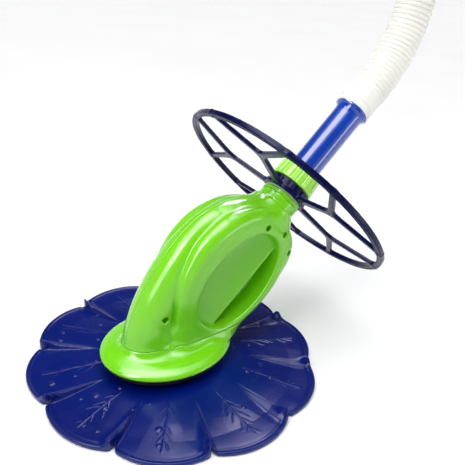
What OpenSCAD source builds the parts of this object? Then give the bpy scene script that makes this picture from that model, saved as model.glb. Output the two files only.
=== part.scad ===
// Suction pool cleaner: hammer-valve casing on a petalled skirt, with a free-turning
// deflector wheel and a swivelling hose tube. Millimetres, +Z up, floor at z = 0.
// The origin is on the floor at the skirt's centre; the neck leans towards +X,
// and y = 0 is the plane where the two casing halves meet.

/* [Skirt] */
// Overall diameter of the flexible skirt over its petals
disc_d = 367; // [340:1:380]
// Radius of the notches between two petals
notch_r = 173; // [168:0.5:176]
// Number of petals
petals = 10; // [6:1:12]
// Angle of the first notch
notch_phase = 106.9; // [0:0.1:359]
// Thickness of the skirt sheet
skirt_t = 3.6; // [3:0.1:4.5]

/* [Foot] */
// Half length of the oval foot flange along X
foot_a = 86.8; // [80:0.1:90]
// Half width of the oval foot flange along Y
foot_b = 72.3; // [68:0.1:78]
// Centre of the flange along X
foot_x = -13; // [-16:0.5:-10]
// Radius of the round spigot that the skirt turns on
spigot_r = 38; // [36:0.5:40]
// Running clearance between skirt and spigot, on the radius
run_c = 0.06; // [0.04:0.01:0.08]

/* [Casing] */
// Lean of the neck above the floor, in degrees
lean = 42.4; // [40:0.1:46]
// Half thickness of the casing
casing_h = 37; // [35:0.5:39]
// Outer radius of the rear pipe
pipe_r = 28; // [27:0.5:29]
// Wall thickness of the casing
wall = 3; // [2.5:0.1:3.5]
// Half length of the oval grip recess, along the neck axis
grip_a = 68; // [64:0.5:70]
// Half width of the oval grip recess
grip_b = 48; // [44:0.5:49]

/* [Wheel] */
// Radius of the deflector wheel
wheel_r = 154.6; // [145:0.1:158]
// Distance of the wheel plane along the neck axis
wheel_s = 294.8; // [294.5:0.1:295.2]
// Radius at which an arm splits in two
fork_r = 96; // [88:1:104]
// Angle between an arm and the rim end of each of its branches
fork_a = 24; // [20:0.5:27]

/* [Hose tube] */
// Outer radius of the blue swivel tube
tube_r = 20; // [19.9:0.01:20]
// Outer radius of the hose nipple, for 38 mm hose
nipple_r = 19; // [18.9:0.01:19]
// Outer radius over the hose corrugations
hose_r = 25.5; // [24:0.5:26]

/* [Valve] */
// Height of the flapper's pin
pin_z = 56; // [55:0.5:57]
// Radius of the flapper's pin
pin_r = 3; // [3:0.1:3.4]

/* [Hidden] */
green = [0.42, 0.80, 0.12];
navy = [0.05, 0.07, 0.26];
x0 = -53.9;                 // foot of the neck axis on the floor line
R = disc_d/2;
sleeve_r = 24;              // outside of the swivel sleeve
bore_r = tube_r + 0.06;     // inside of the swivel sleeve
e = 0.01;

// the hose's centre line, from the lower cuff to the upper cuff
route = [[293,0,317],[309,0,331],[323,0,345],[335,0,360],[345,0,376],[353,0,393],[360,0,411],
         [365,0,431],[368,0,452],[370,0,476],[370,0,508],[370,0,540],[370,0,570]];
hose_top = 570;

// rear pipe: centre points in X and Z
pipe = [[-38,34],[-35.5,48],[-31.5,66],[-26,86],[-19,105],[-9,125],[4,143],[20,158],[40,171],[65,179.5],[92,182],[118,178],[134,172]];
// side outline of the flat-sided chamber, X and Z
pod = [[-26,32],[-26,60],[-27,85],[-27,112],[-22,134],[-10,155],[7,174],[30,188],[56,197],[84,200],[112,194],
       [140,178],[156,158],[162,138],[159,116],[150,95],[134,73],[114,56],[92,43],[72,36]];
// screws: place along and across the neck axis, then how far the head's seat is on the near side of the
// split plane, and how far the tip is past it; the second one is a short set screw that locks the sleeve
screws = [[238,21,16,18],[249,-11,28,-22.6],[238,-42,16,18]];
low_screw = [-33,85];

function ell(a, b, n = 60) = [for (i = [0:n-1]) [a*cos(360*i/n), b*sin(360*i/n)]];
function unit(v) = v/norm(v);

module along(s) { translate([x0 + s*cos(lean), 0, s*sin(lean)]) rotate([0, 90-lean, 0]) children(); }
// flat drawing in X and Z, raised symmetrically in Y
module side(h) { rotate([90, 0, 0]) linear_extrude(h, center = true) children(); }
// flat drawing in neck-axis coordinates, raised symmetrically in Y
module neck_side(h) { translate([x0, 0, 0]) rotate([0, -lean, 0]) rotate([90, 0, 0]) linear_extrude(h, center = true) children(); }
module half(sign) { translate([-150, sign < 0 ? -100 : 0, 0]) cube([450, 100, 400]); }

// ---- casing ----
module pipe_ring(i, r) {
  a = pipe[max(i-1, 0)]; b = pipe[min(i+1, len(pipe)-1)];
  d = unit(b - a);
  translate([pipe[i][0], 0, pipe[i][1]]) rotate([0, atan2(d[0], d[1]), 0]) cylinder(r = r, h = 0.02, center = true, $fn = 32);
}
module pipe_run(r) { for (i = [0:len(pipe)-2]) hull() { pipe_ring(i, r); pipe_ring(i+1, r); } }
module pod_run(inset, h, rr) {
  hull() for (a = [0, 35, 65, 90])
    side(2*(h - rr + rr*sin(a))) offset(delta = -inset - rr*(1 - cos(a))) polygon(pod);
}
// oval plates that widen the casing down to the foot
flare = [[36, 66, 54], [41, 58, 46], [50, 50, 38], [62, 42, 33], [76, 34, 30]];
module flare_run(t) {
  for (i = [0:len(flare)-2]) hull() for (j = [i, i+1])
    translate([-8 - 2*j, 0, flare[j][0]]) linear_extrude(0.02) polygon(ell(flare[j][1]-t, flare[j][2]-t, 48));
}
module casing_outer() {
  pipe_run(pipe_r);
  pod_run(0, casing_h, 15);
  flare_run(0);
  along(236) cylinder(r1 = 36, r2 = 33, h = 32, $fn = 48);
  along(260) cylinder(r = 27.4, h = 24, $fn = 48);
}
module casing_void() {
  difference() {
    union() {
      pipe_run(pipe_r - wall);
      pod_run(wall, casing_h - wall, 12);
      translate([0, 0, -0.5]) flare_run(wall);
    }
    neck_side(200) translate([166, 3]) polygon(ell(grip_a + wall, grip_b + wall, 48));
  }
  along(242.2) cylinder(r = 24.4, h = 50, $fn = 48);
  along(257.6) cylinder(r = 27.4, h = 4.8, $fn = 48);
}
// wedge-shaped floor of the grip recess, drawn across the neck axis
module wedge(d) {
  intersection() {
    neck_side(200) translate([166, 3]) polygon(ell(grip_a + 1 - d, grip_b + 1 - d, 48));
    for (m = [0, 1]) mirror([0, m, 0])
      translate([x0, 0, 0]) rotate([0, -lean, 0]) rotate([90, 0, 90]) linear_extrude(240)
        polygon([[0.5, 60], [-8 + d, 46], [-8 + d, 42], [-29 + d*1.2, -24], [-7 + d, -35 + d], [-6, -60], [0.5, -60]]);
  }
}
module boss(p, r, h) { neck_side(2*h) translate([p[0], p[1]]) circle(r = r, $fn = 16); }
module casing() {
  difference() {
    union() {
      difference() {
        casing_outer();
        casing_void();
        difference() {
          neck_side(200) translate([166, 3]) polygon(ell(grip_a, grip_b, 48));
          neck_side(12) square([900, 900], center = true);
        }
      }
      wedge(0);
      intersection() {
        casing_outer();
        union() {
          for (p = screws) boss(p, 6.7, 60);
          side(120) translate(low_screw) rotate(4) circle(r = 6.5, $fn = 20);
        }
      }
    }
    wedge(2.6);
    // nothing below the foot's top face
    translate([-200, -200, -1]) cube([500, 400, 37.03]);
    // drain slot at the root of the neck
    along(272.4) rotate([0, 0, 159]) translate([24, -6.5, -1]) cube([8, 13, 2]);
    // screw holes: shank, and head sink on the near side
    for (p = screws) {
      boss(p, 2.3, p[2] + 5);
      translate([0, -60 - p[2], 0]) boss(p, 4.4, 60);
    }
    side(52) translate(low_screw) rotate(4) circle(r = 2.3, $fn = 20);
    translate([0, -60, 0]) side(88) translate(low_screw) rotate(4) circle(r = 4.4, $fn = 20);
    along(242.2) cylinder(r = 24.4, h = 50, $fn = 48);
    along(257.6) cylinder(r = 27.4, h = 4.8, $fn = 48);
  }
}
module casing_near() { color(green) intersection() { casing(); half(-1); } }
module casing_far() { color(green) intersection() { casing(); half(1); } }

module screw_at(p, seat, tip) {
  translate([p[0], 0, p[1]]) rotate([90, 0, 0]) {
    translate([0, 0, -tip]) cylinder(r = 1.9, h = tip + seat + 0.2, $fn = 24);
    difference() {
      translate([0, 0, seat + 0.2]) cylinder(r = 3.8, h = 2.8, $fn = 32);
      for (a = [0, 90]) rotate([0, 0, a]) translate([-2.6, -0.5, seat + 1.6]) cube([5.2, 1, 3]);
    }
  }
}
module casing_screws() {
  color("silver") {
    for (p = screws) screw_at([x0 + p[0]*cos(lean) - p[1]*sin(lean), p[0]*sin(lean) + p[1]*cos(lean)], p[2], p[3]);
    screw_at(low_screw, 16, 18);
  }
}

// ---- foot ----
module oval(z, h, t) { translate([foot_x, 0, z]) linear_extrude(h) polygon(ell(foot_a - t, foot_b - t, 72)); }
module foot() {
  color(green) difference() {
    union() {
      hull() { oval(27.5, 2, 3); oval(30, 2.6, 0); oval(34, 1, 1.5); oval(35.4, 0.6, 4); }
      translate([0, 0, 2.5]) cylinder(r = spigot_r, h = 26, $fn = 96);
    }
    // dished top inside the rolled lip
    difference() {
      oval(33.4, 4, 10);
      translate([-8, 0, 30]) linear_extrude(6) polygon(ell(68, 56, 60));
    }
    translate([0, 0, 2]) cylinder(r = 30, h = 40, $fn = 96);
    translate([0, 0, 34.4]) cylinder(r = 34, h = 5, $fn = 96);
    // seat of the skirt retainer
    translate([0, 0, 4.5]) difference() { cylinder(r = 50, h = 3.6, $fn = 96); translate([0, 0, -1]) cylinder(r = 36.6, h = 6, $fn = 96); }
  }
}
module foot_pad() {
  color([0.06, 0.06, 0.07]) difference() {
    translate([foot_x, 0, 17.8]) linear_extrude(9.7) polygon(ell(foot_a - 5, foot_b - 5, 72));
    translate([0, 0, 17]) cylinder(r = spigot_r, h = 12, $fn = 96);
  }
}
module valve_chamber() {
  color([0.12, 0.12, 0.13]) difference() {
    union() {
      translate([0, 0, 6]) cylinder(r = 30, h = 57, $fn = 96);
      translate([0, 0, 34.4]) cylinder(r = 34, h = 2.6, $fn = 96);
    }
    translate([-21, -19.6, 5]) cube([42, 39.2, 60]);
    translate([0, 0, pin_z]) rotate([90, 0, 0]) cylinder(r = 5, h = 80, center = true, $fn = 48);
    // room under the grip recess
    translate([12, -40, 54]) cube([40, 80, 20]);
    // the lower mouth opens out
    translate([0, 0, 5.99]) cylinder(r1 = 28, r2 = 20, h = 8, $fn = 64);
  }
}
module flapper() {
  color([0.1, 0.1, 0.11]) difference() {
    union() {
      translate([0, 0, pin_z]) rotate([90, 0, 0]) cylinder(r = 7, h = 37, center = true, $fn = 48);
      side(37) polygon([[-6.8, pin_z], [6.8, pin_z], [5, 27], [8, 22], [8, 18], [-8, 18], [-8, 22], [-5, 27]]);
    }
    translate([0, 0, pin_z]) rotate([90, 0, 0]) cylinder(r = pin_r + run_c, h = 60, center = true, $fn = 48);
  }
}
module flapper_pin() { color("silver") translate([0, 0, pin_z]) rotate([90, 0, 0]) cylinder(r = pin_r, h = 46, center = true, $fn = 48); }
module flapper_bushes() {
  color([0.9, 0.9, 0.86]) for (m = [0, 1]) mirror([0, m, 0]) translate([0, -19.2, pin_z]) rotate([90, 0, 0]) difference() {
    cylinder(r = 5, h = 4.4, $fn = 48);
    translate([0, 0, -1]) cylinder(r = pin_r, h = 8, $fn = 48);
  }
}

// ---- skirt ----
petal_c = (notch_r*notch_r - R*R)/(2*notch_r*cos(180/petals) - 2*R);
module skirt_outline() {
  circle(r = petal_c*0.6 + 60, $fn = 96);
  for (i = [0:petals-1]) rotate(notch_phase + 180/petals + i*360/petals) translate([petal_c, 0]) circle(r = R - petal_c, $fn = 96);
}
module skirt() {
  color(navy) difference() {
    union() {
      intersection() {
        rotate_extrude($fn = 180) polygon([[20, 9], [60, 9], [150, 0], [172, 0], [R+2, 1.2], [R+2, skirt_t+1.6],
          [172, skirt_t], [150, skirt_t], [62, 12.8], [57, 17], [20, 17]]);
        translate([0, 0, -1]) linear_extrude(24) skirt_outline();
      }
      // raised folds that run in from the notches
      for (i = [0:petals-1]) rotate([0, 0, notch_phase + i*360/petals]) rotate([90, 0, 0]) linear_extrude(6, center = true)
        polygon([[112, 5], [168, 2], [168, skirt_t + 2], [112, 8.9]]);
    }
    translate([0, 0, 8]) cylinder(r = spigot_r + run_c, h = 12, $fn = 96);
  }
}
module skirt_retainer() {
  color([0.06, 0.06, 0.07]) translate([0, 0, 4.5]) difference() {
    cylinder(r = 50, h = 3.6, $fn = 96);
    translate([0, 0, -1]) cylinder(r = 36.6, h = 6, $fn = 96);
  }
}

// ---- neck ----
module swivel_sleeve() {
  color([0.85, 0.86, 0.84]) along(0) difference() {
    union() {
      translate([0, 0, 246]) cylinder(r = sleeve_r, h = 87, $fn = 96);
      translate([0, 0, 258]) cylinder(r = 27, h = 4, $fn = 96);
      intersection() {
        translate([0, 0, 325]) cylinder(r = 26, h = 4, $fn = 96);
        for (a = [0, 180]) rotate([0, 0, a]) translate([15, -6, 320]) cube([20, 12, 12]);
      }
    }
    translate([0, 0, 240]) cylinder(r = bore_r, h = 100, $fn = 96);
  }
}
module neck_collar() {
  color(green) along(284.3) rotate_extrude($fn = 96) polygon([[sleeve_r, 0], [27.4, 0], [27.6, 1.2], [27.4, 2], [26.6, 2.1], [26.6, 2.8],
    [27.3, 2.9], [27.2, 5], [26.4, 6.1], [sleeve_r, 6.1]]);
}
module thrust_washer() {
  color([0.9, 0.9, 0.86]) along(290.4) difference() {
    cylinder(r = 27, h = 0.8, $fn = 96);
    translate([0, 0, -1]) cylinder(r = sleeve_r, h = 3, $fn = 96);
  }
}
// a straight bar between two points, with its width at each end
module bar(p, q, wp, wq) {
  d = unit(q - p); n = [-d[1], d[0]];
  polygon([p + n*wp, p - n*wp, q - n*wq, q + n*wq]);
}
// one forked arm, pointing along +X
module arm() {
  bar([24, 0], [fork_r, 0], 7.5, 5);
  translate([fork_r - 3, 0]) circle(r = 6.4, $fn = 32);
  for (m = [0, 1]) mirror([0, m]) bar([fork_r - 5, 0], (wheel_r - 4)*[cos(fork_a), sin(fork_a)], 5, 4);
}
module deflector_wheel() {
  color(navy) along(wheel_s) difference() {
    union() {
      rotate_extrude($fn = 180) polygon([[wheel_r-8, -2.4], [wheel_r-6.6, -3.6], [wheel_r-1.4, -3.6], [wheel_r, -2.2], [wheel_r, 2.2], [wheel_r-1.4, 3.6],
        [wheel_r-6.6, 3.6], [wheel_r-8, 2.4]]);
      translate([0, 0, -2.4]) linear_extrude(4.8) for (k = [0:4]) rotate(46 + 72*k) arm();
      translate([0, 0, -3.2]) cylinder(r = 28.6, h = 15.6, $fn = 96);
      for (k = [0:9]) rotate([0, 0, 36*k + 10]) translate([28, -2, 2]) cube([2.2, 4, 9]);
    }
    translate([0, 0, -5]) cylinder(r = 26, h = 30, $fn = 96);
  }
}
module wheel_bush() {
  color([0.9, 0.9, 0.86]) along(wheel_s - 3.2) difference() {
    cylinder(r = 26, h = 15.6, $fn = 96);
    translate([0, 0, -1]) cylinder(r = sleeve_r + run_c, h = 20, $fn = 96);
  }
}
module lock_ring() {
  color([0.55, 0.88, 0.20]) along(307.8) difference() {
    union() {
      cylinder(r1 = 29.4, r2 = 27.4, h = 24.2, $fn = 96);
      for (k = [0:19]) rotate([0, 0, 18*k]) rotate([90, 0, 0]) linear_extrude(3.6, center = true)
        polygon([[26, 0.8], [30.4, 0.8], [28.4, 23.2], [26, 23.2]]);
    }
    translate([0, 0, -1]) cylinder(r = sleeve_r + run_c, h = 30, $fn = 96);
    translate([0, 0, 16.7]) cylinder(r = 26.4, h = 5, $fn = 96);
    // ways in for the sleeve's two lugs
    intersection() {
      translate([0, 0, -1]) cylinder(r = 26.4, h = 18, $fn = 96);
      rotate([0, 0, -60]) translate([-40, -7, -2]) cube([80, 14, 30]);
    }
  }
}

// ---- swivel tube and hose ----
module swivel_tube() {
  color([0.03, 0.20, 0.62]) along(0) rotate_extrude($fn = 96) polygon([[16.8, 242.4], [tube_r, 242.4], [tube_r, 243], [18.4, 243], [18.4, 244.6], [tube_r, 244.6],
    [tube_r, 254], [18, 254], [18, 256.4], [tube_r, 256.4], [tube_r, 333.4], [22, 333.6], [22, 336], [tube_r, 336.6], [tube_r, 433], [tube_r + 1.2, 436.5],
    [24, 438.6], [24.4, 440], [24, 441.5], [nipple_r, 441.5], [nipple_r, 467], [18.2, 468], [16.8, 468]]);
}
module tube_seal() { color([0.05, 0.05, 0.05]) along(255.2) rotate_extrude($fn = 96) translate([19, 0]) circle(r = 1, $fn = 24); }
module tube_clip() {
  color("silver") along(243.1) difference() {
    cylinder(r = 22.4, h = 1.4, $fn = 96);
    translate([0, 0, -1]) cylinder(r = 18.4, h = 4, $fn = 96);
    translate([10, -4, -1]) cube([20, 8, 4]);
  }
}
module cuff(h) {
  difference() {
    rotate_extrude($fn = 96) polygon([[nipple_r, 0], [23.6, 0], [24.2, 1], [24.2, 9], [24.8, 10], [24.8, 13], [24.2, 14], [24.6, h - 4], [25.4, h], [nipple_r, h]]);
  }
}
module hose_cuff_lower() { color([0.93, 0.92, 0.88]) along(441.7) cuff(28.3); }
module hose_cuff_upper() { color([0.93, 0.92, 0.88]) translate([370, 0, hose_top + 56]) mirror([0, 0, 1]) cuff(56); }

n_side = 12;
function dir(i) = i == 0 ? [cos(lean), 0, sin(lean)] : i == len(route)-1 ? [0, 0, 1] : unit(unit(route[i+1]-route[i]) + unit(route[i]-route[i-1]));
function ring(i) = let (d = dir(i), n = [-d[2], 0, d[0]]) [for (k = [0:n_side-1]) route[i] + hose_r*(cos(360*k/n_side)*[0,1,0] + sin(360*k/n_side)*n)];
module hose() {
  m = len(route);
  pts = [for (i = [0:m-1]) each ring(i)];
  color([0.93, 0.92, 0.88]) polyhedron(points = pts, faces = concat(
    [[for (k = [0:n_side-1]) k]],
    [for (i = [0:m-2]) for (k = [0:n_side-1]) let (a = i*n_side + k, b = i*n_side + (k+1)%n_side) each [[a, a + n_side, b], [b, a + n_side, b + n_side]]],
    [[for (k = [n_side-1:-1:0]) (m-1)*n_side + k]]), convexity = 4);
}

casing_near();
casing_far();
casing_screws();
foot();
foot_pad();
valve_chamber();
flapper();
flapper_pin();
flapper_bushes();
skirt();
skirt_retainer();
swivel_sleeve();
neck_collar();
thrust_washer();
deflector_wheel();
wheel_bush();
lock_ring();
swivel_tube();
tube_seal();
tube_clip();
hose_cuff_lower();
hose();
hose_cuff_upper();
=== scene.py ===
import bpy
import math
import numpy as np
from mathutils import Matrix, Vector


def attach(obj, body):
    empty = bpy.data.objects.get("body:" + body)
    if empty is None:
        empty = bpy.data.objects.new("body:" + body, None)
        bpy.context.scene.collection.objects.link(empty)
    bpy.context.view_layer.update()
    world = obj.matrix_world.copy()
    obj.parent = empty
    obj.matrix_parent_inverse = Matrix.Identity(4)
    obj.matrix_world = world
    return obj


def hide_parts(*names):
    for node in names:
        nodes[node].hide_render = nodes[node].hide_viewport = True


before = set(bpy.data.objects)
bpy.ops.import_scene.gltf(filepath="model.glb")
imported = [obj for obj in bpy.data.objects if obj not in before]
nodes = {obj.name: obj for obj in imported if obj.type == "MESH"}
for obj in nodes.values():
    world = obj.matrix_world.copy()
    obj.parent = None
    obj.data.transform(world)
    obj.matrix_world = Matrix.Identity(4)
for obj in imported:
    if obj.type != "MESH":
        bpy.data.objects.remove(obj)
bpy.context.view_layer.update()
scene = bpy.context.scene
MM = 0.001

# ------------------------------------------------------------------ camera
A, E, ROLL = math.radians(39.83), math.radians(25.86), math.radians(4.59)
CAM = np.array([-0.3570, -0.5249, 0.4925])


def camera():
    f = np.array([math.sin(A) * math.cos(E), math.cos(A) * math.cos(E), -math.sin(E)])
    r = np.cross(f, [0, 0, 1])
    r /= np.linalg.norm(r)
    u = np.cross(r, f)
    c, s = math.cos(ROLL), math.sin(ROLL)
    R, U = c * r + s * u, -s * r + c * u
    m = Matrix.Identity(4)
    for i in range(3):
        m[i][0], m[i][1], m[i][2], m[i][3] = R[i], U[i], -f[i], CAM[i]
    data = bpy.data.cameras.new("camera")
    data.sensor_width = 36
    data.lens = 46.62
    data.clip_start = 0.02
    data.clip_end = 100
    ob = bpy.data.objects.new("camera", data)
    ob.matrix_world = m
    scene.collection.objects.link(ob)
    scene.camera = ob


camera()

# ------------------------------------------------------------------ materials


def srgb(r, g, b):
    def f(v):
        v /= 255
        return v / 12.92 if v <= 0.04045 else ((v + 0.055) / 1.055) ** 2.4
    return (f(r), f(g), f(b), 1)


def material(name, dark, light, rough=(0.2, 0.3), metal=0.0, bump=0.15, bump_scale=900, cloud=14, coat=0.0, coat_rough=0.05,
             speck=0.0, speck_col=(0.8, 0.8, 0.75, 1), spec=0.5, sss=0.0, sss_rad=(0.01, 0.02, 0.01), stretch=(1, 1, 1), ior=1.5,
             edge=0.0, edge_highlight_col=None, trans=0.0):
    """A moulded plastic, rubber or metal: cloudy colour, smudged gloss, fine bump, a few light specks and convex edges
    lightened with a painted highlight.
    """
    m = bpy.data.materials.new(name)
    m.use_nodes = True
    nt = m.node_tree
    N, L = nt.nodes, nt.links
    N.clear()
    out = N.new("ShaderNodeOutputMaterial")
    p = N.new("ShaderNodeBsdfPrincipled")
    L.new(p.outputs[0], out.inputs[0])
    tc = N.new("ShaderNodeTexCoord")
    mp = N.new("ShaderNodeMapping")
    mp.inputs["Scale"].default_value = stretch
    L.new(tc.outputs["Object"], mp.inputs["Vector"])

    def noise(scale, detail=4, rough_=0.5, src=mp):
        n = N.new("ShaderNodeTexNoise")
        n.inputs["Scale"].default_value = scale
        n.inputs["Detail"].default_value = detail
        n.inputs["Roughness"].default_value = rough_
        L.new(src.outputs[0], n.inputs["Vector"])
        return n

    def ramp(src, stops):
        r = N.new("ShaderNodeValToRGB")
        while len(r.color_ramp.elements) < len(stops):
            r.color_ramp.elements.new(0.5)
        for e, (pos, col) in zip(r.color_ramp.elements, stops):
            e.position = pos
            e.color = col
        L.new(src, r.inputs[0])
        return r

    def mixrgb(fac, a, b):
        x = N.new("ShaderNodeMix")
        x.data_type = "RGBA"
        if isinstance(fac, float):
            x.inputs[0].default_value = fac
        else:
            L.new(fac, x.inputs[0])
        for sock, v in ((x.inputs[6], a), (x.inputs[7], b)):
            if isinstance(v, tuple):
                sock.default_value = v
            else:
                L.new(v, sock)
        return x.outputs[2]

    base = ramp(noise(cloud, 5, 0.55).outputs["Fac"], [(0.3, dark), (0.7, light)]).outputs[0]
    if speck:
        v = noise(520, 2, 0.4)
        base = mixrgb(ramp(v.outputs["Fac"], [(0.70, (0, 0, 0, 1)), (0.78, (speck, speck, speck, 1))]).outputs[0], base, speck_col)
    # painted highlight: convex edges, found by pointiness, are blended towards a paler edge colour
    if edge:
        g = N.new("ShaderNodeNewGeometry")
        base = mixrgb(ramp(g.outputs["Pointiness"], [(0.52, (0, 0, 0, 1)), (0.60, (edge, edge, edge, 1))]).outputs[0], base, edge_highlight_col)
    L.new(base, p.inputs["Base Color"])
    lo, hi = rough
    rr = ramp(noise(cloud * 2.3, 8, 0.62).outputs["Fac"], [(0.35, (lo, lo, lo, 1)), (0.68, (hi, hi, hi, 1))])
    L.new(rr.outputs[0], p.inputs["Roughness"])
    if bump:
        b = N.new("ShaderNodeBump")
        b.inputs["Strength"].default_value = bump
        b.inputs["Distance"].default_value = 0.0002
        L.new(noise(bump_scale, 3, 0.5).outputs["Fac"], b.inputs["Height"])
        b2 = N.new("ShaderNodeBump")
        b2.inputs["Strength"].default_value = 0.12
        b2.inputs["Distance"].default_value = 0.0006
        L.new(noise(42, 2, 0.4).outputs["Fac"], b2.inputs["Height"])
        L.new(b.outputs[0], b2.inputs["Normal"])
        L.new(b2.outputs[0], p.inputs["Normal"])
    p.inputs["Metallic"].default_value = metal
    p.inputs["Specular IOR Level"].default_value = spec
    p.inputs["IOR"].default_value = ior
    if coat:
        p.inputs["Coat Weight"].default_value = coat
        p.inputs["Coat Roughness"].default_value = coat_rough
    if sss:
        p.inputs["Subsurface Weight"].default_value = sss
        p.inputs["Subsurface Radius"].default_value = sss_rad
        p.inputs["Subsurface Scale"].default_value = 0.2
    return m


# edge and the paler edge colour given to each material below paint a highlight along convex edges
MAT = {
    "casing_green": material("casing_green", srgb(116, 210, 14), srgb(128, 218, 26), rough=(0.15, 0.24), bump=0.10, coat=0.4, coat_rough=0.09,
                             speck=0.10, speck_col=srgb(200, 240, 150), edge=0.25, edge_highlight_col=srgb(150, 232, 90), sss=0.06, sss_rad=(0.006, 0.012, 0.003)),
    "lime_plastic": material("lime_plastic", srgb(152, 228, 62), srgb(168, 238, 80), rough=(0.20, 0.32), bump=0.12, coat=0.4, coat_rough=0.12,
                             edge=0.3, edge_highlight_col=srgb(200, 250, 140), sss=0.08, sss_rad=(0.006, 0.012, 0.003)),
    "navy_skirt": material("navy_skirt", srgb(0, 18, 98), srgb(0, 24, 112), rough=(0.16, 0.28), bump=0.12, spec=0.24, coat=0.0, coat_rough=0.10,
                           cloud=9, speck=0.10, speck_col=srgb(90, 110, 190), edge=0.15, edge_highlight_col=srgb(60, 84, 180)),
    "navy_wheel": material("navy_wheel", srgb(2, 6, 56), srgb(5, 10, 70), rough=(0.20, 0.32), bump=0.2, spec=0.16, coat=0.0, coat_rough=0.2,
                           edge=0.05, edge_highlight_col=srgb(50, 56, 130), speck=0.05, speck_col=srgb(120, 120, 160)),
    "blue_tube": material("blue_tube", srgb(0, 52, 160), srgb(0, 66, 184), rough=(0.05, 0.11), bump=0.06, spec=0.5, coat=1.0, coat_rough=0.03,
                          edge=0.2, edge_highlight_col=srgb(40, 110, 230), cloud=8),
    "white_hose": material("white_hose", srgb(250, 249, 240), srgb(255, 254, 247), rough=(0.34, 0.5), bump=0.2, sss=0.15, sss_rad=(0.01, 0.009, 0.007),
                           cloud=10, speck=0.05, speck_col=srgb(200, 196, 180)),
    "black_rubber": material("black_rubber", srgb(12, 12, 16), srgb(24, 24, 30), rough=(0.5, 0.7), bump=0.5, bump_scale=1400, spec=0.4, speck=0.2,
                             speck_col=srgb(70, 70, 74)),
    "black_plastic": material("black_plastic", srgb(22, 22, 26), srgb(34, 34, 38), rough=(0.3, 0.45), bump=0.35, edge=0.3, edge_highlight_col=srgb(80, 80, 86)),
    "bearing_white": material("bearing_white", srgb(214, 215, 206), srgb(232, 232, 224), rough=(0.3, 0.42), bump=0.2, sss=0.1, speck=0.1,
                              speck_col=srgb(180, 178, 165)),
    "stainless": material("stainless", srgb(176, 178, 182), srgb(206, 208, 210), rough=(0.22, 0.38), metal=1.0, bump=0.3, stretch=(1, 1, 14), spec=0.5),
}

# ------------------------------------------------------------------ mesh helpers


def mesh_object(name, verts, faces, mat, body, replaces=(), smooth=True, sharp=None):
    me = bpy.data.meshes.new(name)
    v = np.asarray(verts, float) * MM
    f = np.asarray(faces, int)
    me.vertices.add(len(v))
    me.vertices.foreach_set("co", v.ravel())
    k = f.shape[1]
    me.loops.add(f.size)
    me.loops.foreach_set("vertex_index", f.ravel())
    me.polygons.add(len(f))
    me.polygons.foreach_set("loop_start", np.arange(0, f.size, k))
    me.polygons.foreach_set("loop_total", np.full(len(f), k))
    me.update(calc_edges=True)
    me.validate()
    me.polygons.foreach_set("use_smooth", np.full(len(me.polygons), smooth))
    if sharp:
        me.set_sharp_from_angle(angle=math.radians(sharp))
    ob = bpy.data.objects.new(name, me)
    scene.collection.objects.link(ob)
    me.materials.append(MAT[mat])
    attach(ob, body)
    if replaces:
        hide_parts(*replaces)
    return ob


T = math.radians(42.4)
CT, ST, X0 = math.cos(T), math.sin(T), -53.9


def to_neck(p):
    """Local neck frame (a along -q, b along Y, w along the axis) to the row frame, millimetres."""
    p = np.asarray(p, float)
    a, b, w = p[..., 0], p[..., 1], p[..., 2]
    return np.stack([X0 + w * CT + a * ST, b, w * ST - a * CT], -1)


def wrap_faces(n, m, flip=False):
    """Quads of an n by m grid closed in both directions."""
    i, j = np.meshgrid(np.arange(n), np.arange(m), indexing="ij")
    a = i * m + j
    b = ((i + 1) % n) * m + j
    c = ((i + 1) % n) * m + (j + 1) % m
    d = i * m + (j + 1) % m
    q = np.stack([a, b, c, d], -1).reshape(-1, 4)
    return q[:, ::-1] if flip else q


def fine(profile, step=1.5, closed=True):
    """Points of a closed section, with long runs subdivided."""
    p = np.asarray(profile, float)
    out = []
    n = len(p) if closed else len(p) - 1
    for i in range(n):
        a, b = p[i], p[(i + 1) % len(p)]
        k = max(1, int(math.ceil(np.linalg.norm(b - a) / step)))
        for j in range(k):
            out.append(a + (b - a) * j / k)
    if not closed:
        out.append(p[-1])
    return np.array(out)


def rounded(profile, radii):
    """A closed section with each corner turned into an arc."""
    p = np.asarray(profile, float)
    out = []
    n = len(p)
    for i in range(n):
        r = radii[i] if hasattr(radii, "__len__") else radii
        a, b, c = p[i - 1], p[i], p[(i + 1) % n]
        if r <= 0:
            out.append(b)
            continue
        u, v = a - b, c - b
        lu, lv = np.linalg.norm(u), np.linalg.norm(v)
        u, v = u / lu, v / lv
        cosang = float(np.clip(u @ v, -1, 1))
        if cosang < -0.999:
            out.append(b)
            continue
        half = math.acos(cosang) / 2
        t = min(r / math.tan(half), lu * 0.45, lv * 0.45)
        for k in range(5):
            s = k / 4
            out.append((1 - s) ** 2 * (b + u * t) + 2 * s * (1 - s) * b + s ** 2 * (b + v * t))
    return np.array(out)


def revolve(profile, n, warp=None):
    """Section of (radius, height) round the w axis. Returns points (n, m, 3) and faces."""
    p = np.asarray(profile, float)
    th = np.arange(n) * 2 * math.pi / n
    R = np.broadcast_to(p[:, 0], (n, len(p))).copy()
    Z = np.broadcast_to(p[:, 1], (n, len(p))).copy()
    TH = np.broadcast_to(th[:, None], R.shape)
    if warp:
        R, Z = warp(R, Z, TH)
    pts = np.stack([R * np.cos(TH), R * np.sin(TH), Z], -1)
    area = 0.5 * np.sum(p[:, 0] * np.roll(p[:, 1], -1) - np.roll(p[:, 0], -1) * p[:, 1])
    return pts.reshape(-1, 3), wrap_faces(n, len(p), flip=area < 0)


# ------------------------------------------------------------------ the hose comes first
ROUTE = np.array([[272.3, 297.9], [282.5, 307.2], [293, 317], [309, 331.4], [322.5, 345.2], [335, 360], [345, 376], [353.5, 393], [360, 411],
                  [365, 431], [368.2, 452], [370, 476], [370, 508], [370, 540], [370, 570]])


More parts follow.
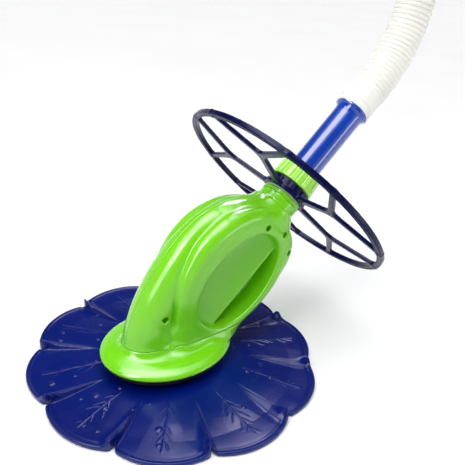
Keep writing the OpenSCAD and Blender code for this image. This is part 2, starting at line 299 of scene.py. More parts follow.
def spline(p, step):
    p = np.asarray(p, float)
    q = np.vstack([2 * p[0] - p[1], p, 2 * p[-1] - p[-2]])
    out = []
    for i in range(1, len(q) - 2):
        p0, p1, p2, p3 = q[i - 1:i + 3]
        for t in np.arange(0, 1, 0.02):
            out.append(0.5 * ((2 * p1) + (-p0 + p2) * t + (2 * p0 - 5 * p1 + 4 * p2 - p3) * t * t + (-p0 + 3 * p1 - 3 * p2 + p3) * t ** 3))
    out.append(p[-1])
    out = np.array(out)
    d = np.concatenate([[0], np.cumsum(np.linalg.norm(np.diff(out, axis=0), axis=1))])
    n = int(round(d[-1] / step))
    s = np.linspace(0, d[-1], n + 1)
    return np.stack([np.interp(s, d, out[:, k]) for k in range(out.shape[1])], 1), s


def hose():
    c, s = spline(ROUTE, 0.55)
    length = s[-1]
    # smooth the direction a little so the rings stay even
    t = np.gradient(c, axis=0)
    t /= np.linalg.norm(t, axis=1)[:, None]
    nrm = np.stack([-t[:, 1], t[:, 0]], 1)
    pitch = 6.6
    start, end = 31.0, length - 15.0
    ph = ((s - start) / pitch) % 1
    # a full round crest with a narrow valley between two crests
    crest = 24.0 + 1.75 * (1 - np.abs(2 * ph - 1) ** 3.2)
    valley = np.exp(-((np.minimum(ph, 1 - ph)) / 0.10) ** 2)
    corr = crest - 0.9 * valley
    plain = np.interp(s, [0, 1.2, 9, 10, 13, 14, 24, 31, length - 15, length - 12, length], [23.4, 24.2, 24.2, 24.75, 24.75, 24.3, 24.6, 25.3, 24.8, 24.6, 24.6])
    w = np.clip(np.minimum((s - start) / 2.0, (end - s) / 2.0), 0, 1)
    r = plain * (1 - w) + corr * w
    n_th = 96
    th = np.arange(n_th) * 2 * math.pi / n_th
    outer = np.array([[c[i, 0] + r[i] * math.cos(a) * nrm[i, 0], r[i] * math.sin(a), c[i, 1] + r[i] * math.cos(a) * nrm[i, 1]] for i in range(len(s)) for a in th])
    keep = np.arange(0, len(s), 6)
    if keep[-1] != len(s) - 1:
        keep = np.append(keep, len(s) - 1)
    ri = 19.06
    inner = np.array([[c[i, 0] + ri * math.cos(a) * nrm[i, 0], ri * math.sin(a), c[i, 1] + ri * math.cos(a) * nrm[i, 1]] for i in keep[::-1] for a in th])
    pts = np.vstack([outer, inner])
    m = len(s) + len(keep)
    faces = wrap_faces(m, n_th)
    ob = mesh_object("hose_tube", pts, faces, "white_hose", "tube_body", replaces=("hose", "hose_cuff_lower"))
    path = [(c[i, 0] * MM, 0.0, c[i, 1] * MM) for i in keep]
    return ob, path, length


hose_ob, hose_path, hose_length = hose()


def upper_cuff():
    prof = [(19.03, 0), (21.5, 0), (24.7, 0), (25.3, 1.2), (25.3, 7), (24.4, 8.4), (24.4, 20), (24.2, 44), (25.0, 45.4), (25.0, 53.5), (24.2, 56), (19.03, 56)]
    prof = rounded(prof, [0.4, 0, 1, 0.5, 1, 1, 0, 1, 1, 1.5, 1, 0.6])

    def warp(R, Z, TH):
        grip = np.clip((R - 22) / 2, 0, 1) * np.clip((Z - 12) / 3, 0, 1) * np.clip((42 - Z) / 3, 0, 1)
        lobe = np.exp(-(((TH * 16 / (2 * math.pi)) % 1 - 0.5) / 0.16) ** 2)
        return R + 0.75 * grip * lobe, Z
    pts, faces = revolve(fine(prof, 1.2), 192, warp)
    pts = pts + np.array([370, 0, 570])
    return mesh_object("hose_end_cuff", pts, faces, "white_hose", "tube_body", replaces=("hose_cuff_upper",), sharp=40)


cuff_ob = upper_cuff()

# ------------------------------------------------------------------ distance fields


def smin(a, b, k):
    h = np.clip(0.5 + 0.5 * (b - a) / k, 0, 1)
    return b + (a - b) * h - k * h * (1 - h)


def smax(a, b, k):
    return -smin(-a, -b, k)


def catmull(pts, n, closed):
    p = np.array(pts, float)
    out = []
    N = len(p)
    for i in range(N if closed else N - 1):
        if closed:
            p0, p1, p2, p3 = p[(i - 1) % N], p[i], p[(i + 1) % N], p[(i + 2) % N]
        else:
            p0, p1, p2, p3 = p[max(i - 1, 0)], p[i], p[i + 1], p[min(i + 2, N - 1)]
        for j in range(n):
            t = j / n
            out.append(0.5 * ((2 * p1) + (-p0 + p2) * t + (2 * p0 - 5 * p1 + 4 * p2 - p3) * t * t + (-p0 + 3 * p1 - 3 * p2 + p3) * t ** 3))
    if not closed:
        out.append(p[-1])
    return np.array(out)


def sd_polygon(px, py, poly):
    d = np.full(px.shape, 1e18)
    inside = np.zeros(px.shape, bool)
    for (ax, ay), (bx, by) in zip(poly, np.roll(poly, -1, 0)):
        ex, ey = bx - ax, by - ay
        wx, wy = px - ax, py - ay
        t = np.clip((wx * ex + wy * ey) / (ex * ex + ey * ey), 0, 1)
        d = np.minimum(d, (wx - ex * t) ** 2 + (wy - ey * t) ** 2)
        c = ((ay <= py) & (by > py)) | ((ay > py) & (by <= py))
        inside ^= c & (px < ax + (py - ay) / (by - ay if by != ay else 1e-9) * ex)
    d = np.sqrt(d)
    return np.where(inside, -d, d)


def chain2(px, py, P, R):
    """Nearest point on a flat polyline: distance in the plane, and the radius there."""
    best = np.full(px.shape, 1e9)
    dist = np.full(px.shape, 1e9)
    rad = np.zeros(px.shape)
    for i in range(len(P) - 1):
        a, b = P[i], P[i + 1]
        e = b - a
        t = np.clip(((px - a[0]) * e[0] + (py - a[1]) * e[1]) / (e @ e), 0, 1)
        d = np.sqrt((px - a[0] - t * e[0]) ** 2 + (py - a[1] - t * e[1]) ** 2)
        r = R[i] + t * (R[i + 1] - R[i])
        w = d - r
        m = w < best
        best = np.where(m, w, best)
        dist = np.where(m, d, dist)
        rad = np.where(m, r, rad)
    return dist, rad


def ellip(u, v, a, b):
    k0 = np.sqrt((u / a) ** 2 + (v / b) ** 2)
    k1 = np.sqrt((u / a ** 2) ** 2 + (v / b ** 2) ** 2)
    return k0 * (k0 - 1) / np.maximum(k1, 1e-6)


def surface_nets(f, origin, h):
    nx, ny, nz = f.shape
    s = f < 0
    corners = [(i, j, k) for i in (0, 1) for j in (0, 1) for k in (0, 1)]
    cnt = sum(s[i:nx - 1 + i, j:ny - 1 + j, k:nz - 1 + k].astype(np.int8) for i, j, k in corners)
    cells = np.argwhere((cnt > 0) & (cnt < 8))
    vid = np.full((nx - 1, ny - 1, nz - 1), -1, np.int64)
    vid[tuple(cells.T)] = np.arange(len(cells))
    acc = np.zeros((len(cells), 3))
    num = np.zeros(len(cells))
    for a in range(8):
        for b in range(a + 1, 8):
            ca, cb = np.array(corners[a]), np.array(corners[b])
            if np.abs(ca - cb).sum() != 1:
                continue
            fa = f[tuple((cells + ca).T)]
            fb = f[tuple((cells + cb).T)]
            m = (fa < 0) != (fb < 0)
            t = np.where(m, fa / np.where(m, fa - fb, 1), 0)
            acc += np.where(m[:, None], ca + t[:, None] * (cb - ca), 0)
            num += m
    v = (cells + acc / num[:, None]) * h + origin
    faces = []
    for ax in range(3):
        o1, o2 = (ax + 1) % 3, (ax + 2) % 3
        sl = [slice(None)] * 3
        sh = [slice(None)] * 3
        sl[ax], sh[ax] = slice(0, -1), slice(1, None)
        change = s[tuple(sl)] != s[tuple(sh)]
        idx = np.argwhere(change)
        ok = (idx[:, o1] > 0) & (idx[:, o2] > 0) & (idx[:, o1] < f.shape[o1] - 1) & (idx[:, o2] < f.shape[o2] - 1)
        idx = idx[ok]
        e1, e2 = np.zeros(3, int), np.zeros(3, int)
        e1[o1], e2[o2] = 1, 1
        q = np.stack([vid[tuple((idx - e1 - e2).T)], vid[tuple((idx - e2).T)], vid[tuple(idx.T)], vid[tuple((idx - e1).T)]], -1)
        inside_first = s[tuple(idx.T)]
        q[~inside_first] = q[~inside_first][:, ::-1]
        faces.append(q)
    return v, np.vstack(faces)


def project(v, fn, h, rounds=3):
    """Moves the vertices onto the surface."""
    e = 0.05
    for _ in range(rounds):
        x, y, z = v.T
        d = fn(x, y, z)
        g = np.stack([fn(x + e, y, z) - fn(x - e, y, z), fn(x, y + e, z) - fn(x, y - e, z), fn(x, y, z + e) - fn(x, y, z - e)], -1) / (2 * e)
        gg = np.maximum((g ** 2).sum(-1), 0.25)
        step = g * (d / gg)[:, None]
        ln = np.linalg.norm(step, axis=1)
        step *= np.minimum(1, 0.45 * h / np.maximum(ln, 1e-9))[:, None]
        v = v - step
    return v


def solidify(name, fn, lo, hi, h):
    ax = [np.arange(lo[i], hi[i] + h, h) for i in range(3)]
    f = fn(ax[0][:, None, None], ax[1][None, :, None], ax[2][None, None, :])
    f = np.broadcast_to(f, (len(ax[0]), len(ax[1]), len(ax[2])))
    v, q = surface_nets(f, np.array(lo, float), h)
    return project(v, fn, h), q


OUTLINE = catmull([(-20, 24), (-21, 60), (-22, 85), (-22, 108), (-18, 130), (-7, 152), (8, 171.5), (29.5, 188.5), (57, 200), (86, 203), (114, 198), (140, 180),
                   (157, 158), (163, 137), (159, 115), (146.5, 95.5), (130.5, 74.5), (109.5, 56.5), (87, 42.5), (64, 28), (30, 20)], 6, True)
PIPE = catmull([(-48, 26), (-45.5, 44), (-40.5, 63), (-33, 84), (-22.5, 104), (-10, 123), (5, 141), (21, 156), (40, 169.5), (64, 178.5), (90, 181), (118, 178),
                (140, 177)], 5, False)
PIPE_R = np.interp(np.arange(len(PIPE)) / 5, [0, 2, 4, 6, 8, 10, 12], [28, 28, 28, 28.5, 28.5, 27.5, 27])
SCREWS = [(238, 21, 16), (249, -11, 28), (238, -42, 16)]
LOW = (-33, 85, 16)
GRIP = (166.0, -1.0, 69.5, 49.5)
FOOT_X, FOOT_A, FOOT_B = -13.0, 86.0, 71.0


def neck_coords(x, z):
    return (x - X0) * CT + z * ST, -(x - X0) * ST + z * CT


def whole(x, y, z, sinks):
    """Casing and foot as one flowing outer form; y < 0 is the near side."""
    yy = y
    y = np.abs(y)
    s, q = neck_coords(x, z)
    er = ellip(s - GRIP[0], q - GRIP[1], GRIP[2], GRIP[3])
    pod2 = sd_polygon(x + 0 * z, z + 0 * x, OUTLINE)
    calm = np.clip((222 - s) / 30, 0.25, 1)
    H = 36.5 + 1.1 * np.exp(-((er - 7) / 6) ** 2) + 1.7 * np.exp(-((er - 27) / 13) ** 2) * calm
    R = 17.0
    w1, w2 = pod2 + R, y - (H - R)
    d = np.minimum(np.maximum(w1, w2), 0) + np.sqrt(np.maximum(w1, 0) ** 2 + np.maximum(w2, 0) ** 2) - R
    cd, crad = chain2(x + 0 * z, z + 0 * x, PIPE, PIPE_R)
    p1 = np.maximum(np.sqrt(cd ** 2 + y ** 2) - crad, 24 - z)
    crease = 1.9 * np.exp(-((d - p1) / 3.6) ** 2) * np.clip((232 - s) / 40, 0, 1) * np.clip((z - 66) / 20, 0, 1)
    d = smin(d, p1, 2.5) + crease
    rn = np.sqrt(y ** 2 + q ** 2)
    nb = smax(rn - (30.8 + np.clip((268 - s) / 25, 0, 1) * 4.6), np.maximum(s - 270.0, 205 - s), 1.0)
    d = smin(d, nb, 9)
    neck = smax(rn - 27.3, np.maximum(s - 284.1, 200 - s), 0.8)
    d = smin(d, neck, 0.9)
    sweep = 16 * np.exp(-np.maximum(z - 36, 0) / 6.0)
    flare = smax(ellip(x + 9, y, 48 + sweep, 27 + sweep) * 0.8, z - 66, 12)
    d = smin(d, flare, 12)
    d = np.maximum(d, 33.0 - z)
    # grip recess with its slanted floor
    cut = smax(er + (37 - y) * 0.05, 7 - y, 3)
    d = smax(d, -cut, 3.0)
    top = smin(7.5 + 21.5 * np.clip((46 - q) / 70, 0, 2) ** 1.5, 29 - (-23 - q) * 2.6, 8.0)
    d = smin(d, smax(y - top, er - 3, 2), 2.0)
    # foot: a broad rolled rim, then a shallow valley round the body
    fe = ellip(x - FOOT_X, y, FOOT_A, FOOT_B)
    w = np.clip((-fe - 16) / 9, 0, 1)
    w = w * w * (3 - 2 * w)
    v = z - 28.0 + 1.7 * w
    f = ellip(np.maximum(fe + 17.0, 0), v, 17.0, np.where(v > 0, 8.3, 2.4))
    d = smin(d, f, 4 + 15 * np.clip((z - 30.5) / 4, 0, 1))
    # drain slot at the root of the neck
    ang = np.arctan2(yy, q) - math.radians(21)
    d = smax(d, -np.maximum(np.maximum(np.abs(s - 272.4) - 1.1, np.abs(ang) * 27 - 6.4), 24.2 - rn), 0.4)
    if sinks:
        for hs, hq, seat in SCREWS:
            hr = np.sqrt((s - hs) ** 2 + (q - hq) ** 2) - 4.2
            d = smax(d, -np.maximum(hr, yy + seat), 1.0)
        hr = np.sqrt((x - LOW[0]) ** 2 + (z - LOW[1]) ** 2) - 4.2
        d = smax(d, -np.maximum(hr, yy + LOW[2]), 1.0)
    return d, fe


def casing(x, y, z, sinks):
    d, fe = whole(x, y, z, sinks)
    s, q = neck_coords(x, z)
    shell = smax(d, -(d + 3.0), 0.5)
    for hs, hq, seat in SCREWS:
        hr = np.sqrt((s - hs) ** 2 + (q - hq) ** 2)
        shell = np.minimum(shell, np.maximum(np.maximum(hr - 6.0, np.abs(y) - 22), d + 0.5))
        shell = np.maximum(shell, -np.maximum(hr - 2.05, np.abs(y) - seat - 4))
    hr = np.sqrt((x - LOW[0]) ** 2 + (z - LOW[1]) ** 2)
    shell = np.minimum(shell, np.maximum(np.maximum(hr - 6.0, np.abs(y) - 20), d + 0.5))
    shell = np.maximum(shell, -np.maximum(hr - 2.05, np.abs(y) - 20))
    rn = np.sqrt(y ** 2 + q ** 2)
    shell = np.maximum(shell, -np.maximum(rn - 24.4, 242 - s))
    shell = np.maximum(shell, -np.maximum(rn - 27.5, np.abs(s - 260) - 2.4))
    split = ellip(x + 9, y, 57.0, 34.5)
    shell = np.maximum(shell, np.maximum(36.8 - z, np.minimum(split, 47.0 - z)))
    rc = np.sqrt(x ** 2 + y ** 2)
    shell = np.maximum(shell, -np.maximum(rc - 34.1, z - 37.2))
    shell = np.maximum(shell, -np.maximum(rc - 30.2, z - 54))
    return smax(shell, y + 0.05, 0.5)


def casing_near(x, y, z):
    return casing(x, y, z, True)


def casing_far(x, y, z):
    return casing(x, y, z, False)


def foot_form(x, y, z):
    d, fe = whole(x, y, z, False)
    split = ellip(x + 9, y, 57.0, 34.5)
    d = np.maximum(d, -np.maximum(36.75 - z, np.minimum(split - 0.05, 46.95 - z)))
    d = np.maximum(d, -np.maximum(split - 0.05, 36.75 - z))
    rc = np.sqrt(x ** 2 + y ** 2)
    spigot = smax(np.abs(rc - 34) - 4, np.abs(z - 15.6) - 13.1, 0.6)
    spigot = np.maximum(spigot, -np.maximum(36.6 - rc, np.abs(z - 6.3) - 1.8))
    d = np.minimum(d, spigot)
    return np.maximum(d, 30.02 - rc)


H1 = 1.3
v, q = solidify("near", casing_near, (-93.0, -66.6, 27), (177, 1.3, 214), H1)
mesh_object("casing_half_near", v, q, "casing_green", "body", replaces=("casing_near",))
v, q = solidify("far", casing_far, (-93.0, -66.6, 27), (177, 1.3, 214), H1)
mesh_object("casing_half_far", v * np.array([1, -1, 1]), q[:, ::-1], "casing_green", "body", replaces=("casing_far",))
v, q = solidify("foot", foot_form, (-104, -77, 0.3), (104, 77, 50.5), H1)
mesh_object("foot_flange", v, q, "casing_green", "body", replaces=("foot",))

# ------------------------------------------------------------------ deflector wheel


def wheel(a, b, w):
    r = np.sqrt(a ** 2 + b ** 2)
    th = np.arctan2(b, a)
    k = 2 * math.pi / 5
    ph = (th - math.radians(46) + k / 2) % k - k / 2
    u, v = r * np.cos(ph), np.abs(r * np.sin(ph))

    def bar(px, py, ax, ay, bx, by, wa, wb):
        ex, ey = bx - ax, by - ay
        L = math.hypot(ex, ey)
        t = np.clip(((px - ax) * ex + (py - ay) * ey) / (L * L), 0, 1)
        return np.sqrt((px - ax - t * ex) ** 2 + (py - ay - t * ey) ** 2) - (wa + (wb - wa) * t)

    fa = math.radians(24)
    arm = bar(u, v, 22, 0, 92, 0, 6.6, 4.6)
    br = bar(u, v, 93, 1.5, 150.6 * math.cos(fa), 150.6 * math.sin(fa), 4.4, 3.6)
    arms = smin(arm, br, 9)
    rim2 = np.abs(r - 150.6) - 4.0
    x1, y1 = arms + 1.3, np.abs(w) - 2.5 + 1.3
    arms3 = np.minimum(np.maximum(x1, y1), 0) + np.sqrt(np.maximum(x1, 0) ** 2 + np.maximum(y1, 0) ** 2) - 1.3
    x2, y2 = rim2 + 1.8, np.abs(w) - 3.7 + 1.8
    rim3 = np.minimum(np.maximum(x2, y2), 0) + np.sqrt(np.maximum(x2, 0) ** 2 + np.maximum(y2, 0) ** 2) - 1.8
    # shallow channel round the rim's face
    rim3 = smax(rim3, -(np.sqrt((r - 150.6) ** 2 + (np.abs(w) - 4.6) ** 2) - 1.7), 0.8)
    d = smin(arms3, rim3, 3.5)
    hub = smax(r - 28.4, np.abs(w - 4.6) - 7.8, 1.2)
    lobe = np.abs((th - math.radians(10)) % (math.pi / 5) - math.pi / 10)
    lobe = (math.pi / 10 - lobe) * 28.5
    bumps = smax(np.sqrt(lobe ** 2 + (r - 27.6) ** 2) - 2.6, np.abs(w - 6.2) - 5.0, 1.0)
    hub = smin(hub, bumps, 1.2)
    ring = smax(np.abs(r - 30) - 1.6, np.abs(w) - 3.0, 0.8)
    hub = smin(hub, ring, 0.8)
    d = smin(d, hub, 2.5)
    return smax(d, 26.0 - r, 0.4)


v, q = solidify("wheel", wheel, (-156.3, -156.3, -5.5), (156.3, 156.3, 14.5), 1.15)
mesh_object("deflector_ring_wheel", to_neck(v + np.array([0, 0, 294.8])), q[:, ::-1] if np.linalg.det(np.array([[ST, 0, CT], [0, 1, 0], [-CT, 0, ST]])) < 0 else q,
            "navy_wheel", "wheel_body", replaces=("deflector_wheel",))

# ------------------------------------------------------------------ skirt
rng = np.random.default_rng(7)
PET_C, PET_R, NOTCH = 98.7, 84.8, 106.9


def skirt():
    n_th, n_r = 1400, 176
    th = np.arange(n_th) * 2 * math.pi / n_th
    rel = (np.degrees(th) - NOTCH) % 36          # 0 and 36 are notches, 18 is a petal's middle
    pi = np.floor(((np.degrees(th) - NOTCH) % 360) / 36).astype(int)
    phi = np.radians(rel - 18)
    edge = PET_C * np.cos(phi) + np.sqrt(PET_R ** 2 - (PET_C * np.sin(phi)) ** 2)
    from_notch = np.where(rel > 18, rel - 36, rel)     # degrees, negative before the notch
    t_edge = np.radians(from_notch) * 173
    edge = edge - 7.0 * np.exp(-(np.abs(t_edge) / 2.1) ** 1.4)
    r0 = 38.06
    frac = np.linspace(0, 1, n_r) ** 0.93
    R = r0 + (edge[:, None] - r0) * frac[None, :]
    TH = np.broadcast_to(th[:, None], R.shape)
    back = edge[:, None] - R                      # distance in from the rim
    z = np.interp(R, [38, 56.4, 58.2, 61.5, 66, 100, 150, 172, 200], [17, 17, 16.2, 13.4, 12.3, 8.7, 3.9, 3.6, 3.6])
    # rolled lip along each petal's edge with a soft gutter behind it
    z = z + 1.5 * np.exp(-((back - 1.6) / 1.9) ** 2) - 0.5 * np.exp(-((back - 6.0) / 2.6) ** 2)
    # petals are slightly cushioned
    lat = np.radians(from_notch)[:, None] * R
    across = np.clip(np.abs(lat) / 24, 0, 1)
    z = z + 1.1 * (across ** 0.8 - 0.5) * np.clip((R - 78) / 50, 0, 1)
    # pleats: a folded ridge that climbs towards each notch, one side steep
    grow = np.clip((R - 98) / 66, 0, 1) ** 1.1
    l2 = lat + 2.6 * grow
    side = np.where(l2 > 0, np.exp(-(l2 / (1.0 + 1.8 * grow)) ** 2), np.exp(-(np.abs(l2) / (2.0 + 5.0 * grow)) ** 1.6))
    z = z + 6.8 * grow * side
    # the fold ends in an upright tab at the notch
    tab = np.exp(-((back - 5.0) / 8.0) ** 2) * np.where(l2 > 0, np.exp(-(l2 / 2.4) ** 4), np.exp(-(np.abs(l2) / 4.6) ** 3))
    z = z + 4.6 * tab
    groove = np.exp(-((lat - 1.6 * (0.6 + grow)) / 1.3) ** 2) * np.clip((R - 90) / 30, 0, 1)
    z = z - 0.8 * groove
    # leaf veins: one midrib and side veins on each petal
    for k in range(10):
        m = np.where(pi == k)[0]
        a0 = math.radians(NOTCH + 36 * k + 18)
        rr = R[m]
        du = rr * np.cos(TH[m] - a0)
        dv = rr * np.sin(TH[m] - a0)
        segs = []
        bend = rng.uniform(-0.05, 0.05)
        p = np.array([92.0, rng.uniform(-2, 2)])
        pts = [p]
        for j in range(6):
            p = p + np.array([12.2, 12.2 * (bend * (j - 2) + rng.uniform(-0.06, 0.06))])
            pts.append(p)
        for a, b in zip(pts[:-1], pts[1:]):
            segs.append((a, b, 1.0))
        for j in range(1, 6):
            for sg in (-1, 1):
                if rng.uniform() < 0.16:
                    continue
                ln = rng.uniform(10, 19) * (1.0 if j < 4 else 0.75)
                ang = math.radians(rng.uniform(34, 52)) * sg
                a = pts[j] + np.array([rng.uniform(-3, 3), 0])
                mid = a + 0.55 * ln * np.array([math.cos(ang), math.sin(ang)])
                b = mid + 0.5 * ln * np.array([math.cos(ang * 0.7), math.sin(ang * 0.7)])
                segs.append((a, mid, 0.8))
                segs.append((mid, b, 0.6))
        h = np.zeros_like(rr)
        for a, b, wt in segs:
            e = b - a
            t = np.clip(((du - a[0]) * e[0] + (dv - a[1]) * e[1]) / (e @ e), 0, 1)
            d2 = (du - a[0] - t * e[0]) ** 2 + (dv - a[1] - t * e[1]) ** 2
            h = np.maximum(h, 0.48 * wt * np.exp(-d2 / (0.65 + 0.3 * wt) ** 2))
        z[m] += h * np.clip(back[m] / 6, 0, 1)
    # moulded water drops
    X, Y = R * np.cos(TH), R * np.sin(TH)
    for x, y, rad, hh in DROPS:
        d2 = (X - x) ** 2 + (Y - y) ** 2
        z = z + hh * np.sqrt(np.clip(1 - d2 / rad ** 2, 0, 1))
    z[:, -1] = z[:, -1] - 0.6
    top = np.stack([X, Y, z], -1)
    # underside
    lows = np.array([0.0, 0.03, 0.12, 0.3, 0.62, 1.0])[::-1]
    Rb = r0 + (edge[:, None] - 0.5 - r0) * lows[None, :]
    Rb[:, -1] = r0
    zb = np.interp(Rb, [38, 60, 150, 172, 186], [9, 9, 0, 0, 1.0])
    THb = np.broadcast_to(th[:, None], Rb.shape)
    up = 4.0 * np.clip((Rb - 98) / 66, 0, 1) * np.exp(-((np.radians(from_notch)[:, None] * Rb) / 2.0) ** 2)
    bot = np.stack([Rb * np.cos(THb), Rb * np.sin(THb), zb + up], -1)
    loop = np.concatenate([top, bot], 1)
    m = loop.shape[1]
    return mesh_object("petal_skirt", loop.reshape(-1, 3), wrap_faces(n_th, m, flip=True), "navy_skirt", "skirt_body", replaces=("skirt",))


DROPS = []
_seen = [(-99, -36, 2.4, 1.2), (-60, -92, 3.4, 1.5)]
for _ in range(34):
    rr, aa = rng.uniform(88, 166), rng.uniform(0, 2 * math.pi)
    DROPS.append((rr * math.cos(aa), rr * math.sin(aa), float(rng.choice([1.4, 1.9, 2.6, 3.6])), float(rng.uniform(0.8, 1.5))))
skirt()

# ------------------------------------------------------------------ foot pad


def foot_pad():
    prof = rounded([(0, 17.8), (1, 17.8), (1, 27.4), (0, 27.4)], 0)
    n = 240
    th = np.arange(n) * 2 * math.pi / n
    a, b = 81.8, 67.3
    sec = [(0.0, 27.4), (-2.0, 27.4), (-0.4, 26.6), (0, 25.4), (0.3, 24.4), (-0.5, 23.9), (-0.5, 23.3), (0.3, 22.8), (0.2, 21), (-0.6, 19.4), (-2.4, 18.2), (-5, 17.8)]
    rows = []
    for off, z in sec[1:]:
        rows.append(np.stack([-13 + (a + off) * np.cos(th), (b + off) * np.sin(th), np.full(n, z)], -1))
    for k in (0.35, 0.7, 1.0):
        o = rows[10]
        inner = np.stack([38.02 * np.cos(np.arctan2(o[:, 1], o[:, 0])), 38.02 * np.sin(np.arctan2(o[:, 1], o[:, 0])), np.full(n, 17.8)], -1)
        rows.append(o + (inner - o) * k)
    top_in = rows[-1].copy()
    top_in[:, 2] = 27.4
    rows.append(top_in)
    o = rows[0]
    for k in (0.6, 0.3):
        rows.append(o + (top_in - o) * k)
    loop = np.stack(rows, 1)
    return mesh_object("sole_pad", loop.reshape(-1, 3), wrap_faces(n, loop.shape[1], flip=True), "black_rubber", "body", replaces=("foot_pad",), sharp=50)


foot_pad()

# ------------------------------------------------------------------ collar, lock ring, tube


def neck_part(name, profile, n, mat, body, replaces, warp=None, step=1.2, sharp=35):
    pts, faces = revolve(fine(profile, step), n, warp)
    return mesh_object(name, to_neck(pts), faces, mat, body, replaces=replaces, sharp=sharp)


neck_part("neck_end_collar", rounded([(24.02, 284.3), (27.3, 284.3), (27.7, 284.9), (27.7, 286.0), (26.7, 286.4), (26.7, 287.0), (27.3, 287.3), (27.2, 289.2), (26.3, 290.4), (24.02, 290.4)],
                                     [0, 0.3, 0.3, 0.3, 0.2, 0.2, 0.3, 0.6, 0.6, 0]), 160, "casing_green", "body", ("neck_collar",), step=0.8)


def ring_warp(R, Z, TH):
    z0 = (Z - 307.8) / 24.2
    outer = np.clip((R - 26.9) / 0.8, 0, 1)
    ph = (TH * 20 / (2 * math.pi)) % 1 - 0.5
    valley = np.exp(-(ph / 0.13) ** 2)
    flute = 1.5 * valley * np.clip((Z - 309.2) / 2.0, 0, 1) * np.clip((331.0 - Z) / 2.5, 0, 1)
    crown = 0.35 * np.cos(ph * 2 * math.pi) * -1
    return R - outer * (flute + crown * 0.6), Z


neck_part("bayonet_ring", rounded([(24.08, 307.8), (29.9, 307.8), (30.4, 309.0), (28.6, 330.4), (27.6, 332.0), (24.08, 332.0), (24.08, 329.5), (26.4, 329.5), (26.4, 324.5), (24.08, 324.5)],
                                  [0.3, 0.5, 0.8, 1.0, 0.7, 0.3, 0, 0, 0, 0]), 480, "lime_plastic", "lock_ring_body", ("lock_ring",), ring_warp)


def tube_warp(R, Z, TH):
    out = np.clip((R - 19.5) / 0.4, 0, 1) * np.clip((Z - 334) / 2, 0, 1) * np.clip((432 - Z) / 3, 0, 1)
    line = np.exp(-((np.abs(np.sin(TH)) * 20) / 0.35) ** 2)
    return R + 0.13 * line * out + 0.03 * out * np.sin((Z - 334) * 0.22), Z


neck_part("hose_swivel_tube", rounded([(16.8, 242.4), (20, 242.4), (20, 243), (18.4, 243), (18.4, 244.6), (20, 244.6), (20, 254), (18, 254), (18, 256.4), (20, 256.4), (20, 333.6), (21.9, 333.7),
                                       (21.9, 335.6), (20, 336.8), (20, 429), (20.5, 433.5), (22.2, 437.4), (24.2, 438.9), (24.5, 440.2), (23.9, 441.5), (19.0, 441.5), (19.0, 467), (18.2, 468), (16.8, 468)],
                                      [0, 0, 0, 0, 0, 0, 0, 0, 0, 0, 0, 0.5, 0.6, 0.8, 2, 3, 1.6, 0.5, 0.5, 0.4, 0, 0.3, 0.3, 0]), 192, "blue_tube", "tube_body", ("swivel_tube",), tube_warp)

# ------------------------------------------------------------------ CAD nodes that stay
KEEP = {"casing_screws": "stainless", "valve_chamber": "black_plastic", "flapper": "black_plastic", "flapper_pin": "stainless", "flapper_bushes": "bearing_white",
        "skirt_retainer": "black_plastic", "swivel_sleeve": "bearing_white", "thrust_washer": "bearing_white", "wheel_bush": "bearing_white", "tube_seal": "black_rubber",
        "tube_clip": "stainless"}
for n, mname in KEEP.items():
    o = nodes[n]
    o.data.materials.clear()
    o.data.materials.append(MAT[mname])

# ------------------------------------------------------------------ stage and lights


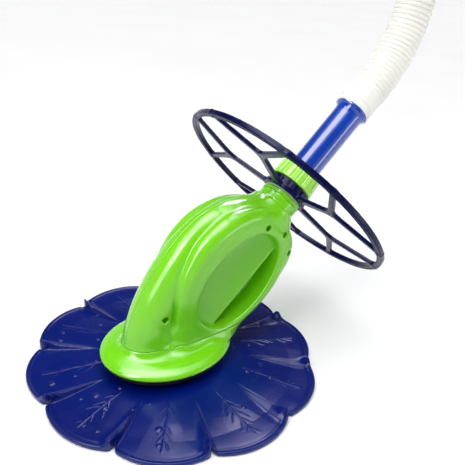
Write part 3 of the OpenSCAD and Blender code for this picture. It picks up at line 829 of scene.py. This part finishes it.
def stage():
    floor_mat = material("pale_floor", srgb(246, 246, 247), srgb(250, 250, 251), rough=(0.5, 0.6), bump=0.0, cloud=2, spec=0.2)
    me = bpy.data.meshes.new("floor")
    s = 14
    me.from_pydata([(-s, -s, -0.0004), (s, -s, -0.0004), (s, s, -0.0004), (-s, s, -0.0004)], [], [(0, 1, 2, 3)])
    me.materials.append(floor_mat)
    ob = bpy.data.objects.new("floor", me)
    scene.collection.objects.link(ob)

    def area(name, loc, target, size, size_y, power, colour=(1, 1, 1)):
        d = bpy.data.lights.new(name, "AREA")
        d.shape = "RECTANGLE"
        d.size, d.size_y, d.energy, d.color = size, size_y, power, colour
        o = bpy.data.objects.new(name, d)
        o.location = loc
        o.rotation_euler = (Vector(target) - Vector(loc)).to_track_quat("-Z", "Y").to_euler()
        scene.collection.objects.link(o)
        return o

    area("key", (-1.5, -0.2, 1.7), (0, 0, 0.15), 0.7, 0.9, 13)
    # softboxes that show in the gloss only
    for name, d, dist, size, size_y, power in (("top_box", (-0.386, 0.03, 0.922), 1.2, 0.75, 1.3, 13), ("front_box", (0.4735, -0.8803, 0.02), 1.2, 0.3, 0.9, 2.5),
                                               ("left_box", (-0.80, -0.15, 0.45), 1.3, 0.35, 1.0, 6)):
        c = Vector((0.2, 0, 0.24))
        o = area(name, tuple(c + Vector(d) * dist), tuple(c), size, size_y, power)
        z = -Vector(d).normalized()
        y = Vector((CT, 0, ST))
        y = (y - z * y.dot(z)).normalized()
        x = y.cross(-z)
        o.rotation_euler = Matrix((x, y, -z)).transposed().to_euler()
        o.visible_diffuse = False
    az, el = math.radians(46), math.radians(51)
    far = area("far_box", (-0.02 + 2 * math.sin(az) * math.cos(el), -0.14 + 2 * math.cos(az) * math.cos(el), 2 * math.sin(el)), (-0.02, -0.14, 0), 0.7, 0.42, 15.0, (0.85, 0.8, 1))
    far.visible_diffuse = False
    w = bpy.data.worlds.new("studio")
    scene.world = w
    w.use_nodes = True
    nt = w.node_tree
    bg = nt.nodes["Background"]
    tc = nt.nodes.new("ShaderNodeTexCoord")
    sep = nt.nodes.new("ShaderNodeSeparateXYZ")
    ramp = nt.nodes.new("ShaderNodeValToRGB")
    stops = [(0.0, 0.8), (0.30, 0.5), (0.42, 0.10), (0.80, 0.16), (0.95, 3.9)]
    while len(ramp.color_ramp.elements) < len(stops):
        ramp.color_ramp.elements.new(0.5)
    for e, (pos, v) in zip(ramp.color_ramp.elements, stops):
        e.position = pos
        e.color = (v, v, v, 1)
    nt.links.new(tc.outputs["Generated"], sep.inputs[0])
    nt.links.new(sep.outputs["Z"], ramp.inputs[0])
    lp = nt.nodes.new("ShaderNodeLightPath")
    mx = nt.nodes.new("ShaderNodeMix")
    mx.data_type = "RGBA"
    mx.inputs[7].default_value = (0.97, 0.97, 0.975, 1)
    nt.links.new(lp.outputs["Is Camera Ray"], mx.inputs[0])
    nt.links.new(ramp.outputs[0], mx.inputs[6])
    nt.links.new(mx.outputs[2], bg.inputs[0])
    bg.inputs[1].default_value = 1.0


stage()
scene.view_settings.view_transform = "Standard"
scene.view_settings.look = "None"
